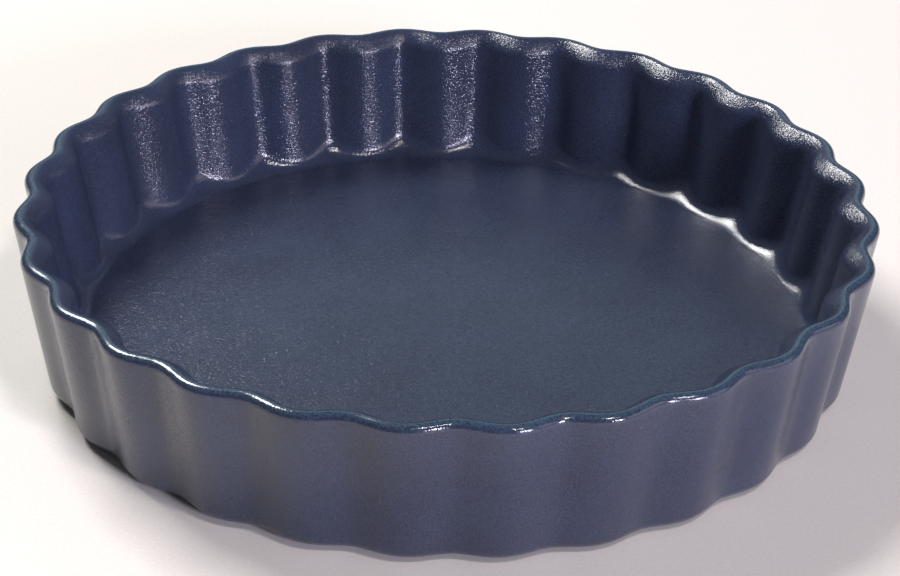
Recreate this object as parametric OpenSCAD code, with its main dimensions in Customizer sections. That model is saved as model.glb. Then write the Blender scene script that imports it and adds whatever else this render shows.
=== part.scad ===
// Round quiche dish with a fluted wall, pressed in one piece of stoneware and satin glazed.
// Sizes are in millimetres. The origin is on the table at the centre of the base, +Z is up,
// and one lobe of the wall points along +X.

/* [Dish] */
// Outside diameter at the rim, halfway between a lobe and a groove
rim_d = 270; // [230:1:320]
// Outside diameter at the bottom of the wall, halfway between a lobe and a groove
base_d = 256; // [220:1:300]
// Height from the table to the top of the lip
height = 50; // [35:1:70]

/* [Walls] */
// Thickness of the fluted wall at the lip, measured level
wall = 5; // [4:0.1:6]
// Thickness that the wall gains on its inside from the shoulder down to the floor
wall_gain = 1.5; // [0:0.1:4]
// Thickness of the floor inside the foot ring
floor_t = 5.4; // [4:0.1:8]

/* [Flutes] */
// Number of lobes round the wall
flutes = 28; // [20:1:34]
// Depth from lobe to groove at the rim
flute_depth_rim = 3.4; // [1:0.1:4.5]
// Depth from lobe to groove at the base
flute_depth_base = 2.4; // [1:0.1:4]
// Share by which the lobes are fuller than the grooves
lobe_fullness = 0.04; // [0:0.01:0.1]
// Thickness that the wall gains on its inside at the grooves, where it stands out as ridges
ridge_gain = 1.6; // [0:0.1:2]

/* [Shoulder] */
// Width of the sloping shoulder inside the lip, at the lobes
shoulder_w = 1.4; // [0:0.1:2]
// Height of the shoulder, down from the top of the lip
shoulder_h = 4.5; // [3:0.5:8]

/* [Edges] */
// Radius of the cove from the floor up into the wall, halfway between a lobe and a ridge
cove_r = 5.5; // [4:0.5:10]
// Radius of the outside corner where the wall turns under
corner_r = 3.5; // [1.5:0.5:5]

/* [Foot ring] */
// Height of the foot ring, which lifts the underside off the table
foot_h = 1.2; // [0.8:0.1:2]
// Width of the foot ring's flat land
foot_w = 4.5; // [3:0.5:8]
// Setback of the land from the outside of the wall, measured at the grooves
foot_inset = 6; // [4:0.5:12]
// Radius where the foot ring's sides round into its land
foot_edge_r = 0.6; // [0.3:0.1:0.8]

/* [Hidden] */
NAVY = "#2b3350";

// Facets round one flute, and rings of points along each part of the section. The inside's
// rings crowd towards the lip by the power RING_BIAS.
FLUTE_STEPS = 10;
CORNER_STEPS = 3;
LIP_STEPS = 4;
WALL_STEPS = 4;
RING_BIAS = 2.2;
COVE_STEPS = 5;
// Power by which the wall gains more of its thickness low down
GAIN_BIAS = 1.3;
FOOT_SINK = 1;
FOOT_FN = 180;

columns = flutes * FLUTE_STEPS;
floor_z = foot_h + floor_t;
lip_z = height - wall / 2;

// Mean radius of the wall's middle surface, and half its flute depth, at height z
function middle_r(z) = (base_d + (rim_d - base_d) * z / height - wall) / 2;
function wave_a(z) = (flute_depth_base + (flute_depth_rim - flute_depth_base) * z / height) / 2;

// Radius of the middle surface and its slope round the wall: a cosine with its lobes filled out
function flute_r(a, z) =
    middle_r(z) + wave_a(z) * (cos(flutes * a) + lobe_fullness * (1 - cos(2 * flutes * a)));
function flute_slope(a, z) =
    wave_a(z) * flutes * (2 * lobe_fullness * sin(2 * flutes * a) - sin(flutes * a));

// Point at angle a and height z, set off level by s from the middle surface, so that the wall
// keeps its thickness round every lobe and groove
function wall_point(a, s, z) =
    let(r = flute_r(a, z),
        slope = flute_slope(a, z),
        radial = [cos(a), sin(a)],
        along = [-sin(a), cos(a)],
        out = (r * radial - slope * along) / norm([r, slope]),
        p = r * radial + s * out)
    [p.x, p.y, z];

// Smooth step from 0 to 1
function ease(t) = let(u = min(t, 1)) u * u * (3 - 2 * u);

// Thickness gained on the inside at angle a and height z: a shoulder swells out of the lip, wider
// at the ridges, and below it the wall thickens down to the floor
function gain(a, z) =
    let(down = height - z, ridge = ridge_gain * (1 - cos(flutes * a)) / 2)
    (shoulder_w + ridge) * ease(down / shoulder_h)
    + wall_gain * pow(down / (height - floor_z), GAIN_BIAS);
function inside_point(a, z) = wall_point(a, -wall / 2 - gain(a, z), z);

// Radius of the cove at angle a. The cove ends on a circle, so it is wider in the lobes.
floor_r = middle_r(floor_z) - wall / 2 - shoulder_w - ridge_gain / 2 - wall_gain - cove_r;
function cove(a) = let(p = inside_point(a, floor_z)) norm([p.x, p.y]) - floor_r;

// Point of the cove at angle a, turned from the wall (0) to the floor (90)
function cove_point(a, turn) =
    let(r = cove(a),
        p = inside_point(a, floor_z + r * (1 - sin(turn))),
        k = 1 - r * (1 - cos(turn)) / norm([p.x, p.y]))
    [k * p.x, k * p.y, p.z];

// Arc of the section as [offset, height] points about centre c, from angle a0 to a1
function arc(c, r, a0, a1, steps) =
    [for (i = [0:steps]) let(a = a0 + (a1 - a0) * i / steps) c + r * [cos(a), sin(a)]];

// Outer half of the section, from the underside, round the corner and up to the top of the lip,
// and the inner half of the lip
outer_half = concat(
    arc([wall / 2 - corner_r, foot_h + corner_r], corner_r, -90, 0, CORNER_STEPS),
    arc([0, lip_z], wall / 2, 0, 90, LIP_STEPS)
);
inner_lip = arc([0, lip_z], wall / 2, 90 + 90 / LIP_STEPS, 180, LIP_STEPS - 1);

// Column of points at angle a: up the outside, over the lip, down the inside and along the cove
function column(a) = concat(
    [for (p = outer_half) wall_point(a, p[0], p[1])],
    [for (p = inner_lip) wall_point(a, p[0] - gain(a, p[1]), p[1])],
    [for (i = [1:WALL_STEPS - 1])
        inside_point(a, lip_z + (floor_z + cove(a) - lip_z) * pow(i / WALL_STEPS, RING_BIAS))],
    [for (i = [0:COVE_STEPS]) cove_point(a, 90 * i / COVE_STEPS)]
);

// The fluted shell: closed rings of points, skinned ring to ring, with the floor and the
// underside as flat faces
module fluted_shell() {
    skin_columns = [for (i = [0:columns - 1]) column(i * 360 / columns)];
    rings = len(skin_columns[0]);
    points = [for (k = [0:rings - 1], i = [0:columns - 1]) skin_columns[i][k]];
    skin = [
        for (k = [0:rings - 2], i = [0:columns - 1])
            let(j = (i + 1) % columns, low = k * columns, high = (k + 1) * columns)
            each [[low + i, high + j, low + j], [low + i, high + i, high + j]]
    ];
    underside = [for (i = [0:columns - 1]) i];
    inside_floor = [for (i = [columns - 1:-1:0]) (rings - 1) * columns + i];
    polyhedron(points = points, faces = concat(skin, [underside, inside_floor]), convexity = 8);
}

// The foot ring, wiped clean of glaze: a low band with a flat land and rounded edges
module foot_ring() {
    land_out = base_d / 2 - flute_depth_base / 2 - foot_inset;
    land_in = land_out - foot_w;
    rotate_extrude($fn = FOOT_FN)
        polygon(concat(
            [[land_in - foot_edge_r, foot_h + FOOT_SINK]],
            arc([land_in, foot_edge_r], foot_edge_r, 180, 270, 3),
            arc([land_out, foot_edge_r], foot_edge_r, 270, 360, 3),
            [[land_out + foot_edge_r, foot_h + FOOT_SINK]]
        ));
}

module dish() {
    color(NAVY)
    union() {
        fluted_shell();
        foot_ring();
    }
}

dish();
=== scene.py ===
"""Round quiche dish: a low fluted wall, a rounded lip, a coved flat floor and a low foot ring.

It is pressed in one piece of stoneware and covered in a satin navy glaze that runs thin and
turns teal along the lip. Lengths are in metres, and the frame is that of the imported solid.
"""

import math

import bpy
import numpy as np
from mathutils import Matrix, Vector


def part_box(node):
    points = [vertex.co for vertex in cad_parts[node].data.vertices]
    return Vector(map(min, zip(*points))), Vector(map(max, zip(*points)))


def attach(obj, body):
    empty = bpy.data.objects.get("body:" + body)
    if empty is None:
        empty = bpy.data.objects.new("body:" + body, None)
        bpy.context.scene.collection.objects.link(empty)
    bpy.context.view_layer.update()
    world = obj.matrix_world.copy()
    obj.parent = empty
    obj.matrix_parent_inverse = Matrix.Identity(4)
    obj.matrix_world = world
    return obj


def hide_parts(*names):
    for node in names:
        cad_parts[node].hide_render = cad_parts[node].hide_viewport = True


bl_info = {
    "name": "Fluted Quiche Dish",
    "version": (1, 0, 0),
    "blender": (4, 5, 0),
    "location": "View3D > Sidebar > Quiche Dish",
    "description": "Builds a fluted stoneware quiche dish with a satin glaze, on a studio table",
    "category": "Add Mesh",
}

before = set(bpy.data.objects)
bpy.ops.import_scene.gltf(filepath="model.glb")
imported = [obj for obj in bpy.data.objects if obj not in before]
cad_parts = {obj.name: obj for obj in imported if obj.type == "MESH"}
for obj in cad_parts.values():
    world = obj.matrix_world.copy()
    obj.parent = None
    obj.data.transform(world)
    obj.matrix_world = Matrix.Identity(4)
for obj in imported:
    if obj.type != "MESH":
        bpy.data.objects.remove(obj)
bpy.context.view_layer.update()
LOW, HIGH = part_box("dish")
MM = 0.001

# Columns of vertices round one lobe, and rows along each part of the section
LOBE_COLUMNS = 28
CORNER_ROWS = 10
WALL_ROWS = 8
LIP_ROWS = 12
INSIDE_ROWS = 22
COVE_ROWS = 16
FLOOR_ROWS = 7
FOOT_EDGE_ROWS = 3
# Power by which the inside's rows crowd towards the lip
ROW_BIAS = 1.6
# Power by which the wall gains more of its thickness low down
GAIN_BIAS = 1.3
# How far the round of the leaning lip bulges past the ring where it starts
LIP_BULGE = 0.03 * MM

# Depth of the band on the lip where the glaze ran thin and a teal highlight is painted on, in
# halves of the lip's thickness
THIN_GLAZE_AND_HIGHLIGHT_BAND = 1.3
# Rings past the top of the lip over which the thin band and its painted teal highlight fade out
THIN_AND_HIGHLIGHT_FADE = LIP_ROWS / 2
# How grainy the shoulder is and how smooth the cove is, where the thin lip counts as 1
SHOULDER_GRAIN = 0.5
COVE_MELT = 0.5

# Sizes of the patterns in the finishes. The grain of the glaze and the fleck of the table are
# drawn coarser than in life, so that they show.
CLOUD_SIZE = 24 * MM
GRAIN_SIZE = 0.58 * MM
GRAIN_HEIGHT = 0.17 * MM
SPECK_SPACING = 5 * MM
GROG_SIZE = 0.9 * MM
GROG_HEIGHT = 0.1 * MM
FLECK_SIZE = 1.1 * MM

# Half the side of the square table, and the distance from the dish to every lamp
TABLE_HALF = 6.0
LAMP_DISTANCE = 2.4
# Each lamp's name, azimuth and elevation in degrees, width, height, radiance and colour
LAMPS = (
    ("back_softbox", 137, 50, 1.00, 0.70, 25.0, "#fffefd"),
    ("front_softbox", 311, 58, 0.26, 0.26, 70.0, "#fff8f4"),
    ("low_window", 312, 17, 0.36, 0.52, 80.0, "#e6e3fb"),
    ("side_fill", 348, 22, 1.60, 1.10, 1.7, "#f0e2e6"),
    ("white_backdrop", 98, 30, 1.90, 0.90, 0.62, "#d4ebff"),
)
# The dim room round the table, and its strength as light and as seen in gloss
ROOM_COLOUR = "#e6ebf4"
ROOM_LIGHT = 0.09
ROOM_GLOSS = 0.10
# Width of the camera's sensor in millimetres
SENSOR_WIDTH = 36.0


def hex_colour(code):
    """An sRGB hex code as a linear colour with alpha, by the sRGB transfer curve."""
    srgb = np.array([int(code[i : i + 2], 16) / 255 for i in (1, 3, 5)])
    linear = np.where(srgb <= 0.04045, srgb / 12.92, ((srgb + 0.055) / 1.055) ** 2.4)
    return (*linear.tolist(), 1.0)


def shade(colour, share):
    """A linear colour with its red, green and blue times share, and alpha 1."""
    return [channel * share for channel in colour[:3]] + [1.0]


def length_prop(name, description, default, low, high):
    """A length that a user may change, in metres."""
    return bpy.props.FloatProperty(
        name=name, description=description, default=default, min=low, max=high,
        subtype="DISTANCE", unit="LENGTH", precision=4,
    )


def angle_prop(name, description, degrees):
    """An angle that a user may change, given in degrees."""
    return bpy.props.FloatProperty(
        name=name, description=description, default=math.radians(degrees),
        subtype="ANGLE", unit="ROTATION",
    )


def colour_prop(name, description, code):
    """A colour that a user may change, given as an sRGB hex code."""
    return bpy.props.FloatVectorProperty(
        name=name, description=description, default=hex_colour(code), size=4,
        min=0.0, max=1.0, subtype="COLOR",
    )


class DishSizes(bpy.types.PropertyGroup):
    """Sizes of the dish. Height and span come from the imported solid."""

    height: length_prop("Height", "Table to the top of the lip", HIGH.z - LOW.z, 0.03, 0.08)
    span: length_prop("Span", "Across the rim over the lobes", HIGH.x - LOW.x, 0.2, 0.34)
    base_d: length_prop(
        "Base diameter", "Foot of the wall, mean of lobes and grooves", 0.256, 0.2, 0.3,
    )
    wall: length_prop(
        "Wall", "Thickness of the fluted wall at the lip, measured level", 0.005, 0.003, 0.007,
    )
    wall_gain: length_prop(
        "Wall gain", "Thickness gained inside down to the floor", 0.0015, 0.0, 0.006,
    )
    floor_t: length_prop("Floor", "Thickness of the floor", 0.0054, 0.003, 0.009)
    depth_rim: length_prop("Flute depth at rim", "Lobe to groove at the rim", 0.0034, 0.001, 0.006)
    depth_base: length_prop(
        "Flute depth at base", "Lobe to groove at the base", 0.0024, 0.001, 0.005,
    )
    ridge_gain: length_prop(
        "Ridge gain", "Thickness gained inside at the grooves", 0.0016, 0.0, 0.003,
    )
    shoulder_w: length_prop(
        "Shoulder width", "Sloping shoulder inside the lip", 0.0014, 0.0, 0.003,
    )
    shoulder_h: length_prop(
        "Shoulder height", "Sloping shoulder inside the lip", 0.0045, 0.002, 0.02,
    )
    cove_r: length_prop("Cove radius", "Halfway between a lobe and a ridge", 0.0055, 0.003, 0.012)
    corner_r: length_prop("Corner radius", "Where the wall turns under", 0.0035, 0.001, 0.006)
    foot_h: length_prop("Foot height", "Foot ring below the underside", 0.0012, 0.0005, 0.003)
    foot_w: length_prop("Foot width", "Flat land of the foot ring", 0.0045, 0.002, 0.01)
    foot_inset: length_prop("Foot inset", "Land set back from the grooves", 0.006, 0.002, 0.015)
    foot_edge_r: length_prop(
        "Foot edge radius", "Rounding of the land's edges", 0.0006, 0.0002, 0.001,
    )
    flutes: bpy.props.IntProperty(
        name="Flutes", description="Lobes round the wall", default=28, min=12, max=40,
    )
    fullness: bpy.props.FloatProperty(
        name="Lobe fullness", description="Share by which lobes are fuller than grooves",
        default=0.04, min=0.0, max=0.2, subtype="FACTOR",
    )


class GlazeColours(bpy.types.PropertyGroup):
    """Colours of the glaze and of the bare clay."""

    navy: colour_prop("Navy", "Glaze where it lies thick", "#292e40")
    slate: colour_prop("Slate", "Glaze where it lies a little thinner", "#363f57")
    # Teal is partly the glaze breaking thin over the lip and partly a painted highlight on its
    # crest
    teal: colour_prop("Teal", "Glaze where it breaks thin over the lip", "#3c5d69")
    speck: colour_prop("Speck", "Pale grains of undissolved frit", "#8d99ab")
    clay: colour_prop("Clay", "Fired stoneware wiped clean of glaze", "#b9a68c")


class StudioSettings(bpy.types.PropertyGroup):
    """Colour of the table, and the camera's place, turns and lens."""

    table: colour_prop("Table", "Pale table", "#f5efe8")
    camera_distance: length_prop(
        "Camera distance", "From the dish's axis, measured level", 0.6693, 0.3, 2.0,
    )
    camera_height: length_prop("Camera height", "Above the table", 0.3951, 0.1, 1.5)
    camera_azimuth: angle_prop(
        "Camera azimuth", "Turn about the dish from straight in front", 4.775,
    )
    camera_tilt: angle_prop("Camera tilt", "Below the horizon", 29.48)
    camera_pan: angle_prop("Camera pan", "To the right of the dish's axis", 0.126)
    camera_roll: angle_prop("Camera roll", "Clockwise as the camera sees it", -1.41)
    lens: bpy.props.FloatProperty(
        name="Lens", description="Focal length on a 36 mm wide sensor, in millimetres",
        default=94.8, min=20.0, max=300.0, subtype="DISTANCE_CAMERA",
    )


def arc(centre, radius, start, end, rows):
    """Points on a circle about centre, from one angle in degrees to another, ends included."""
    angle = np.radians(np.linspace(start, end, rows + 1))
    across = centre[0] + radius * np.cos(angle)
    return np.column_stack([across, centre[1] + radius * np.sin(angle)])


def straight(a, b, rows):
    """Points between two ends, both ends left out, spaced evenly."""
    share = np.linspace(0, 1, rows + 1)[1:-1, None]
    return np.array(a) + (np.array(b) - np.array(a)) * share


class FlutedWall:
    """The wall's surfaces, as rings of points at a level offset from its middle surface.

    The middle surface's radius is the mean radius plus half the flute depth times (cosine of
    N theta plus fullness times (1 minus cosine of 2 N theta)). The mean radius and the depth
    both grow evenly with height. The inside gains thickness: the shoulder's width plus ridge
    gain times half (1 minus cosine of N theta), swelling out of the lip by a smooth step, plus
    wall gain times (the share of the way down to the floor) to the power GAIN_BIAS.
    """

    def __init__(self, s):
        columns = s.flutes * LOBE_COLUMNS
        self.s = s
        self.theta = np.arange(columns)[None] * 2 * np.pi / columns
        self.floor_z = s.foot_h + s.floor_t
        self.lip_z = s.height - s.wall / 2
        self.base_r = s.base_d / 2
        reach = s.span / 2 - LIP_BULGE
        self.growth = (reach - self.half_depth(self.lip_z) - self.base_r) / self.lip_z
        self.floor_r = (
            self.mean_radius(self.floor_z)
            - (s.wall / 2 + s.shoulder_w + s.ridge_gain / 2 + s.wall_gain + s.cove_r)
        )

    def half_depth(self, z):
        """Half the flute depth at heights z."""
        s = self.s
        return (s.depth_base + (s.depth_rim - s.depth_base) * z / s.height) / 2

    def mean_radius(self, z):
        """Radius of the middle surface halfway between a lobe and a groove, at heights z."""
        return self.base_r + self.growth * z - self.s.wall / 2

    def points(self, offset, z):
        """Rings of points, one for each offset and height: the point on the middle surface plus
        offset times the unit normal of its outline in plan."""
        n, k = self.s.flutes, self.s.fullness
        depth = self.half_depth(z)
        theta = self.theta
        radius = self.mean_radius(z) + depth * (np.cos(n * theta) + k * (1 - np.cos(2 * n * theta)))
        slope = depth * n * (2 * k * np.sin(2 * n * theta) - np.sin(n * theta))
        cosine, sine = np.cos(theta), np.sin(theta)
        norm = np.hypot(radius, slope)
        x = radius * cosine + offset * (radius * cosine + slope * sine) / norm
        y = radius * sine + offset * (radius * sine - slope * cosine) / norm
        return np.stack([x, y, np.broadcast_to(z, x.shape)], axis=-1)

    def gain(self, z):
        """Thickness gained on the inside at heights z."""
        s = self.s
        down = s.height - z
        share = np.clip(down / s.shoulder_h, 0, 1)
        width = s.shoulder_w + s.ridge_gain * (1 - np.cos(s.flutes * self.theta)) / 2
        shoulder = width * share**2 * (3 - 2 * share)
        return shoulder + s.wall_gain * (down / (s.height - self.floor_z)) ** GAIN_BIAS

    def inside(self, z):
        """Rings of points on the inside at heights z."""
        return self.points(-self.s.wall / 2 - self.gain(z), z)

    def cove(self):
        """The cove's radius round the dish. The cove ends on a circle, so it is wider in the
        lobes."""
        foot = self.inside(np.array([[self.floor_z]]))
        return np.hypot(foot[..., 0], foot[..., 1]) - self.floor_r

    def cove_rings(self, turn):
        """Rings of the cove, turned from the wall (0) to the floor (a right angle)."""
        r = self.cove()
        rings = self.inside(self.floor_z + r * (1 - np.sin(turn)))
        reach = np.hypot(rings[..., 0], rings[..., 1])
        rings[..., :2] *= (1 - r * (1 - np.cos(turn)) / reach)[..., None]
        return rings


def foot_rings(s, theta):
    """The foot ring as circles at the angles theta: its inner side, its flat land with rounded
    edges, and its outer side."""
    land_out = (s.base_d - s.depth_base) / 2 - s.foot_inset
    land_in = land_out - s.foot_w
    edge = s.foot_edge_r
    section = np.concatenate([
        [(land_in - edge, s.foot_h)],
        arc((land_in, edge), edge, 180, 270, FOOT_EDGE_ROWS),
        arc((land_out, edge), edge, 270, 360, FOOT_EDGE_ROWS),
        [(land_out + edge, s.foot_h)],
    ])
    circle = np.stack([np.cos(theta), np.sin(theta)], axis=-1)
    return np.concatenate([
        section[:, None, :1] * circle[None],
        np.broadcast_to(section[:, None, 1:], (len(section), len(circle), 1)),
    ], axis=-1)


def melt(s, rows, start):
    """How smooth the glaze melted at each point of the rings, which also sets where the lip is
    painted teal. It is 1 along the lip, where the glaze ran thin and the teal stands partly for a
    painted highlight on the crest, and falls evenly to 0 at the end of the thin band. On the
    shoulder, where the glaze stayed grainy, half a sine wave is taken off, and in the cove, where
    it pooled, it is half a sine wave."""
    z = rows[..., 2]
    band_end = s.height - THIN_GLAZE_AND_HIGHLIGHT_BAND * s.wall / 2
    past_top = np.arange(len(rows))[:, None] - start["inner lip"]
    melted = np.clip((z - band_end) / (s.height - band_end), 0, 1)
    melted *= np.clip(1 - past_top / THIN_AND_HIGHLIGHT_FADE, 0, 1)
    down = np.clip((s.height - z) / s.shoulder_h, 0, 1)
    melted -= SHOULDER_GRAIN * np.sin(np.pi * down) * (past_top > 0)
    cove_rows = start["floor"] - start["cove"]
    pooled = COVE_MELT * np.sin(np.linspace(0, np.pi, cove_rows))
    melted[start["cove"] : start["floor"]] = pooled[:, None]
    return melted


def dish_rows(s):
    """Every ring of the dish's skin, from the middle of the underside over the lip to the middle
    of the floor, as an array of rings by columns by xyz. With it come how smooth the glaze
    melted at each point, which strips between two rings are bare clay, and the heights of the
    two ends. Rings on the wall follow the flutes. Rings on the foot and the underside are
    circles, and rings on the floor are its outline drawn inwards."""
    wall = FlutedWall(s)
    half = s.wall / 2

    corner = arc((half - s.corner_r, s.foot_h + s.corner_r), s.corner_r, -90, 0, CORNER_ROWS)
    lip = arc((0, wall.lip_z), half, 0, 90, LIP_ROWS)
    outside = np.concatenate([corner, straight(corner[-1], lip[0], WALL_ROWS), lip])
    over = arc((0, wall.lip_z), half, 90, 180, LIP_ROWS)[1:]
    down = np.linspace(0, 1, INSIDE_ROWS + 1)[1:-1, None] ** ROW_BIAS
    turn = np.radians(np.linspace(0, 90, COVE_ROWS + 1))[:, None]
    shrink = np.linspace(1, 0, FLOOR_ROWS + 1)[1:-1, None, None]
    foot = foot_rings(s, wall.theta[0])
    cove = wall.cove_rings(turn)

    parts = {
        "underside": foot[0][None] * [1, 1, 0] * shrink[::-1] + [0, 0, s.foot_h],
        "foot": foot,
        "outside": wall.points(outside[:, :1], outside[:, 1:]),
        "inner lip": wall.points(over[:, :1] - wall.gain(over[:, 1:]), over[:, 1:]),
        "inside": wall.inside(wall.lip_z + (wall.floor_z + wall.cove() - wall.lip_z) * down),
        "cove": cove,
        "floor": cove[-1][None] * [1, 1, 0] * shrink + [0, 0, wall.floor_z],
    }
    rows = np.concatenate(list(parts.values()))
    counts = [len(part) for part in parts.values()]
    start = dict(zip(parts, np.cumsum([0, *counts])))

    bare = np.zeros(len(rows) - 1, bool)
    bare[start["foot"] : start["outside"] - 1] = True
    return rows, melt(s, rows, start), bare, (s.foot_h, wall.floor_z)


def skin(name, rows, ends):
    """A closed mesh from rings of points: quads between neighbouring rings, and a fan of
    triangles to one point on the axis at each end. Faces point outwards."""
    count, columns = rows.shape[:2]
    points = np.concatenate([rows.reshape(-1, 3), [[0, 0, ends[0]], [0, 0, ends[1]]]])
    ring = np.arange(columns)
    after = (ring + 1) % columns
    low = np.arange(count - 1)[:, None] * columns
    high = low + columns
    quads = np.stack([low + ring, low + after, high + after, high + ring], axis=-1)
    bottom = np.stack([np.full(columns, count * columns), after, ring], axis=-1)
    last = (count - 1) * columns
    top = np.stack([np.full(columns, count * columns + 1), last + ring, last + after], axis=-1)
    corners = np.concatenate([quads.ravel(), bottom.ravel(), top.ravel()])
    sizes = np.concatenate([np.full(quads.size // 4, 4), np.full(2 * columns, 3)])
    starts = np.concatenate([[0], np.cumsum(sizes)[:-1]])

    mesh = bpy.data.meshes.new(name)
    mesh.vertices.add(len(points))
    mesh.vertices.foreach_set("co", points.astype(np.float32).ravel())
    mesh.loops.add(len(corners))
    mesh.loops.foreach_set("vertex_index", corners.astype(np.int32))
    mesh.polygons.add(len(sizes))
    mesh.polygons.foreach_set("loop_start", starts.astype(np.int32))
    mesh.update(calc_edges=True)
    mesh.validate()
    mesh.shade_smooth()
    return mesh


def add_node(tree, kind, inputs=None, **settings):
    """One shader node with its settings. An input is a value, or an output socket to link
    from."""
    node = tree.nodes.new(kind)
    for key, value in settings.items():
        setattr(node, key, value)
    for key, value in (inputs or {}).items():
        if isinstance(value, bpy.types.NodeSocket):
            tree.links.new(value, node.inputs[key])
        else:
            node.inputs[key].default_value = value
    return node


def new_material(name):
    """An empty material and its node tree."""
    material = bpy.data.materials.new(name)
    material.use_nodes = True
    material.node_tree.nodes.clear()
    return material, material.node_tree


def satin_glaze(colours):
    """Satin navy glaze on stoneware, sprayed and fired. It gives a soft gloss with broad
    highlights, a fine grain of tiny crystals, a few pale specks, and a teal edge along the lip
    that is partly glaze drawn back thin and partly a painted highlight on the crest. The lip
    and the cove melted smooth and mirror the lamps more sharply, and the shoulder stayed
    grainy and glitters. The grain is drawn coarser than in life, so that it shows."""
    material, tree = new_material("satin_navy_glaze")
    place = add_node(tree, "ShaderNodeTexCoord").outputs["Object"]
    melted = add_node(tree, "ShaderNodeAttribute", attribute_name="melted_glaze_and_highlight")

    # Clouds of navy and slate, broken up by the grain
    cloud = add_node(tree, "ShaderNodeTexNoise", {
        "Vector": place, "Scale": 1 / CLOUD_SIZE, "Detail": 3.0,
    })
    grain = add_node(tree, "ShaderNodeTexNoise", {
        "Vector": place, "Scale": 1 / GRAIN_SIZE, "Detail": 1.5,
    })
    mottle = add_node(tree, "ShaderNodeMix", {
        "Factor": 0.7, "A": cloud.outputs["Fac"], "B": grain.outputs["Fac"],
    })
    depth = add_node(tree, "ShaderNodeMapRange", {
        "Value": mottle.outputs["Result"], "From Min": 0.35, "From Max": 0.65,
    })
    body = add_node(tree, "ShaderNodeMix", {
        "Factor": depth.outputs["Result"], "A": colours.navy, "B": colours.slate,
    }, data_type="RGBA")

    # Teal where the glaze ran thin, which is also a painted highlight along the lip's crest
    thin_edge_and_highlight = add_node(tree, "ShaderNodeMath", {
        0: melted.outputs["Fac"], 1: grain.outputs["Fac"],
    }, operation="MULTIPLY")
    share = add_node(tree, "ShaderNodeMapRange", {
        "Value": thin_edge_and_highlight.outputs["Value"], "From Min": 0.36, "From Max": 0.6, "To Max": 0.6,
    })
    teal_edge_and_highlight = add_node(tree, "ShaderNodeMix", {
        "Factor": share.outputs["Result"], "A": body.outputs["Result"], "B": colours.teal,
    }, data_type="RGBA")

    # A pale speck in the middle of a few of the cells
    cells = add_node(tree, "ShaderNodeTexVoronoi", {"Vector": place, "Scale": 1 / SPECK_SPACING})
    dot = add_node(tree, "ShaderNodeMapRange", {
        "Value": cells.outputs["Distance"], "From Min": 0.05, "From Max": 0.03,
    })
    tint = add_node(tree, "ShaderNodeSeparateColor", {"Color": cells.outputs["Color"]})
    few = add_node(tree, "ShaderNodeMapRange", {
        "Value": tint.outputs["Red"], "From Min": 0.7, "From Max": 1.0, "To Max": 0.6,
    })
    speck = add_node(tree, "ShaderNodeMath", {
        0: dot.outputs["Result"], 1: few.outputs["Result"],
    }, operation="MULTIPLY")
    colour = add_node(tree, "ShaderNodeMix", {
        "Factor": speck.outputs["Value"], "A": teal_edge_and_highlight.outputs["Result"], "B": colours.speck,
    }, data_type="RGBA")

    # Gloss, and relief that is lower where the glaze melted smooth
    rough = add_node(tree, "ShaderNodeMapRange", {
        "Value": grain.outputs["Fac"], "From Min": 0.3, "From Max": 0.7,
        "To Min": 0.11, "To Max": 0.16,
    })
    level = add_node(tree, "ShaderNodeMapRange", {
        "Value": melted.outputs["Fac"], "From Min": -1.0, "From Max": 0.7,
        "To Min": 2.2, "To Max": 0.35,
    })
    relief = add_node(tree, "ShaderNodeBump", {
        "Height": grain.outputs["Fac"], "Distance": GRAIN_HEIGHT,
        "Strength": level.outputs["Result"],
    })
    shader = add_node(tree, "ShaderNodeBsdfPrincipled", {
        "Base Color": colour.outputs["Result"], "Roughness": rough.outputs["Result"],
        "Normal": relief.outputs["Normal"], "IOR": 1.58,
    })
    add_node(tree, "ShaderNodeOutputMaterial", {"Surface": shader.outputs["BSDF"]})
    return material


def bare_stoneware(colours):
    """Fired buff stoneware with no glaze, wiped with a sponge. It is dry and matt, with grog
    that shows as darker and paler grains."""
    material, tree = new_material("bare_stoneware")
    place = add_node(tree, "ShaderNodeTexCoord").outputs["Object"]
    grog = add_node(tree, "ShaderNodeTexNoise", {
        "Vector": place, "Scale": 1 / GROG_SIZE, "Detail": 4.0,
    })
    colour = add_node(tree, "ShaderNodeMix", {
        "Factor": grog.outputs["Fac"], "A": shade(colours.clay, 0.6), "B": colours.clay,
    }, data_type="RGBA")
    relief = add_node(tree, "ShaderNodeBump", {
        "Height": grog.outputs["Fac"], "Distance": GROG_HEIGHT,
    })
    shader = add_node(tree, "ShaderNodeBsdfPrincipled", {
        "Base Color": colour.outputs["Result"], "Roughness": 0.85,
        "Normal": relief.outputs["Normal"], "IOR": 1.5,
    })
    add_node(tree, "ShaderNodeOutputMaterial", {"Surface": shader.outputs["BSDF"]})
    return material


def table_finish(settings):
    """Matt white laminate under studio light. It is pale with a faint fleck, and keeps the
    shadow. The fleck is drawn coarser than in life, so that it shows."""
    material, tree = new_material("pale_table")
    place = add_node(tree, "ShaderNodeTexCoord").outputs["Object"]
    fleck = add_node(tree, "ShaderNodeTexNoise", {
        "Vector": place, "Scale": 1 / FLECK_SIZE, "Detail": 1.0,
    })
    colour = add_node(tree, "ShaderNodeMix", {
        "Factor": fleck.outputs["Fac"], "A": settings.table, "B": shade(settings.table, 0.86),
    }, data_type="RGBA")
    shader = add_node(tree, "ShaderNodeBsdfPrincipled", {
        "Base Color": colour.outputs["Result"], "Roughness": 0.6, "IOR": 1.5,
    })
    add_node(tree, "ShaderNodeOutputMaterial", {"Surface": shader.outputs["BSDF"]})
    return material


def link(name, data):
    """A new object with this data, in the scene."""
    thing = bpy.data.objects.new(name, data)
    bpy.context.scene.collection.objects.link(thing)
    return thing


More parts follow.
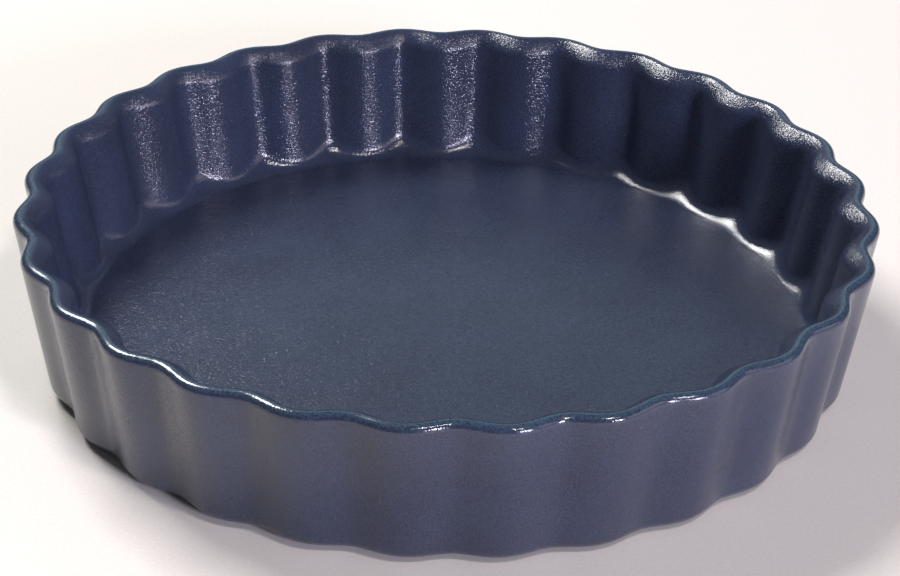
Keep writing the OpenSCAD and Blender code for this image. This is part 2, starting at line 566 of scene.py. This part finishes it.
class QUICHE_OT_dish(bpy.types.Operator):
    """Build the fluted dish as one closed skin, with its glaze and its bare foot ring"""

    bl_idname = "quiche.dish"
    bl_label = "Fluted dish"

    def execute(self, context):
        sizes, colours = context.scene.dish_sizes, context.scene.glaze_colours
        rows, melted, bare, ends = dish_rows(sizes)
        mesh = skin("fluted_dish", rows, ends)
        columns = rows.shape[1]
        mesh.materials.append(satin_glaze(colours))
        mesh.materials.append(bare_stoneware(colours))
        slots = np.zeros(len(mesh.polygons), np.int32)
        slots[: len(bare) * columns] = np.repeat(bare, columns)
        mesh.polygons.foreach_set("material_index", slots)
        # This mask also sets the teal lip band, which stands partly for a painted highlight on the
        # crest
        layer = mesh.attributes.new("melted_glaze_and_highlight", "FLOAT", "POINT")
        # The points on the axis, one at each end of the skin, come after the rings
        values = np.append(melted.ravel(), [0.0, 0.0])
        layer.data.foreach_set("value", values.astype(np.float32))
        piece = link("fluted_dish", mesh)
        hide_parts("dish")
        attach(piece, "root")
        return {"FINISHED"}


def direction(azimuth, elevation):
    """Unit vector towards an azimuth, counted from +X towards +Y, and an elevation, both in
    degrees."""
    a, e = math.radians(azimuth), math.radians(elevation)
    return Vector((math.cos(a) * math.cos(e), math.sin(a) * math.cos(e), math.sin(e)))


def softbox(name, azimuth, elevation, width, height, radiance, code):
    """A rectangular lamp aimed at the dish. Its power is radiance times pi times its area."""
    lamp = bpy.data.lights.new(name, "AREA")
    lamp.shape = "RECTANGLE"
    lamp.size, lamp.size_y = width, height
    lamp.energy = radiance * math.pi * width * height
    lamp.color = hex_colour(code)[:3]
    thing = link(name, lamp)
    towards = direction(azimuth, elevation)
    thing.location = towards * LAMP_DISTANCE
    thing.rotation_mode = "QUATERNION"
    thing.rotation_quaternion = towards.to_track_quat("Z", "Y")


class QUICHE_OT_stage(bpy.types.Operator):
    """Build the pale table, the world, the lamps and the camera"""

    bl_idname = "quiche.stage"
    bl_label = "Table, lamps and camera"

    def execute(self, context):
        settings = context.scene.studio_settings
        self.table(settings)
        self.world()
        for lamp in LAMPS:
            softbox(*lamp)
        self.camera(settings)
        return {"FINISHED"}

    def table(self, settings):
        """The table is one square, centred under the dish."""
        mesh = bpy.data.meshes.new("table")
        half = TABLE_HALF
        corners = [(-half, -half, 0), (half, -half, 0), (half, half, 0), (-half, half, 0)]
        mesh.from_pydata(corners, [], [(0, 1, 2, 3)])
        mesh.materials.append(table_finish(settings))
        link("table", mesh)

    def world(self):
        """The room is dim and slightly blue as light and in gloss, and plain white where the
        camera sees past the table."""
        world = bpy.data.worlds.new("studio")
        world.use_nodes = True
        tree = world.node_tree
        tree.nodes.clear()
        path = add_node(tree, "ShaderNodeLightPath")
        strength = add_node(tree, "ShaderNodeMapRange", {
            "Value": path.outputs["Is Glossy Ray"], "To Min": ROOM_LIGHT, "To Max": ROOM_GLOSS,
        })
        dim = add_node(tree, "ShaderNodeBackground", {
            "Color": hex_colour(ROOM_COLOUR), "Strength": strength.outputs["Result"],
        })
        white = add_node(tree, "ShaderNodeBackground", {"Color": (1, 1, 1, 1), "Strength": 1.0})
        mix = add_node(tree, "ShaderNodeMixShader", {
            0: path.outputs["Is Camera Ray"], 1: dim.outputs[0], 2: white.outputs[0],
        })
        add_node(tree, "ShaderNodeOutputWorld", {"Surface": mix.outputs[0]})
        bpy.context.scene.world = world

    def camera(self, settings):
        """The camera stands in front of the dish, turned about it by the azimuth. From a level
        look at the axis it is panned, tilted and rolled."""
        lens = bpy.data.cameras.new("camera")
        lens.lens = settings.lens
        lens.sensor_width = SENSOR_WIDTH
        lens.clip_start, lens.clip_end = 0.01, 50.0
        thing = link("camera", lens)
        turn = Matrix.Rotation(settings.camera_azimuth, 4, "Z")
        place = Matrix.Translation((0, -settings.camera_distance, settings.camera_height))
        pan = Matrix.Rotation(-settings.camera_pan, 4, "Z")
        tilt = Matrix.Rotation(math.pi / 2 - settings.camera_tilt, 4, "X")
        roll = Matrix.Rotation(-settings.camera_roll, 4, "Z")
        thing.matrix_world = turn @ place @ pan @ tilt @ roll
        bpy.context.scene.camera = thing


class QUICHE_PT_panel(bpy.types.Panel):
    """Lists the operators that build the dish and its stage, and the sizes and colours"""

    bl_idname = "QUICHE_PT_panel"
    bl_label = "Quiche Dish"
    bl_space_type = "VIEW_3D"
    bl_region_type = "UI"
    bl_category = "Quiche Dish"

    def draw(self, context):
        for operator in (QUICHE_OT_dish, QUICHE_OT_stage):
            self.layout.operator(operator.bl_idname)
        for group_name in GROUPS:
            group = getattr(context.scene, group_name)
            box = self.layout.box()
            for name in group.__annotations__:
                box.prop(group, name)


GROUPS = {
    "dish_sizes": DishSizes,
    "glaze_colours": GlazeColours,
    "studio_settings": StudioSettings,
}
CLASSES = (*GROUPS.values(), QUICHE_OT_dish, QUICHE_OT_stage, QUICHE_PT_panel)


def register():
    for cls in CLASSES:
        bpy.utils.register_class(cls)
    for name, group in GROUPS.items():
        setattr(bpy.types.Scene, name, bpy.props.PointerProperty(type=group))


def unregister():
    for name in GROUPS:
        delattr(bpy.types.Scene, name)
    for cls in reversed(CLASSES):
        bpy.utils.unregister_class(cls)


def main():
    register()
    bpy.context.scene.view_settings.view_transform = "Standard"
    bpy.ops.quiche.dish()
    bpy.ops.quiche.stage()


if __name__ == "__main__":
    main()
